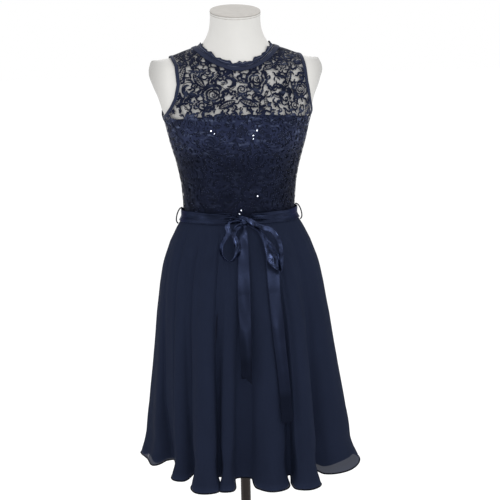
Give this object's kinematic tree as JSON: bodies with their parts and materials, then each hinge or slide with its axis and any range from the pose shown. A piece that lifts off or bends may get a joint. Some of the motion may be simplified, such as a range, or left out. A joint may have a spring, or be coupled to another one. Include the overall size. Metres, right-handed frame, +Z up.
{
  "type": "cocktail dress on a limbless dress form with a pole stand",
  "caption": "Sleeveless navy dress with lace yoke, tied ribbon waist and full folded skirt, worn by a limbless dress form on a pole and round base.",
  "frame": {"origin": "centre of the stand base's underside, on the pole's axis and on the floor", "axes": "+Z up; the dress faces -Y; +X is to the right as seen from the front"},
  "size_m": [0.466, 0.477, 1.4816],
  "materials": {
    "navy_chiffon": "thin matt chiffon, a little sheer",
    "navy_lining": "opaque plain weave",
    "navy_lace": "flower lace on a fine net",
    "navy_satin": "satin ribbon",
    "form_jersey": "white stretch cover",
    "form_cap": "matt",
    "dark_wood": "stained and varnished",
    "zip_metal": "navy enamel"
  },
  "bodies": {
    "dress_and_stand": {"lace_front": "navy_lace", "lace_back_left": "navy_lace", "lace_back_right": "navy_lace", "bodice_lining_front": "navy_lining", "bodice_lining_back_left": "navy_lining", "bodice_lining_back_right": "navy_lining", "neckline_tape": "navy_satin", "neckline_ruffle": "navy_satin", "armhole_binding_left": "navy_satin", "armhole_binding_right": "navy_satin", "skirt_front": "navy_chiffon", "skirt_back_left": "navy_chiffon", "skirt_back_right": "navy_chiffon", "skirt_lining_front": "navy_lining", "skirt_lining_back": "navy_lining", "waist_ribbon": "navy_satin", "bow_knot": "navy_satin", "bow_loop_left": "navy_satin", "bow_loop_right": "navy_satin", "bow_tail_left": "navy_satin", "bow_tail_right": "navy_satin", "belt_loop_left": "navy_satin", "belt_loop_right": "navy_satin", "zip_strip": "navy_satin", "zip_slider": "zip_metal", "form_torso": "form_jersey", "form_neck_cap": "form_cap", "stand_flange": "dark_wood", "stand_pole": "dark_wood", "stand_socket": "dark_wood", "stand_base": "dark_wood"},
    "zip_tab": {"zip_pull_tab": "zip_metal"}
  },
  "joints": [
    {"name": "zip_tab_swing", "type": "hinge", "parent": "dress_and_stand", "child": "zip_tab", "pos_m": [0, 0.07297, 1.3796], "axis": [1, 0, 0], "range_deg": [0, 120]}
  ]
}
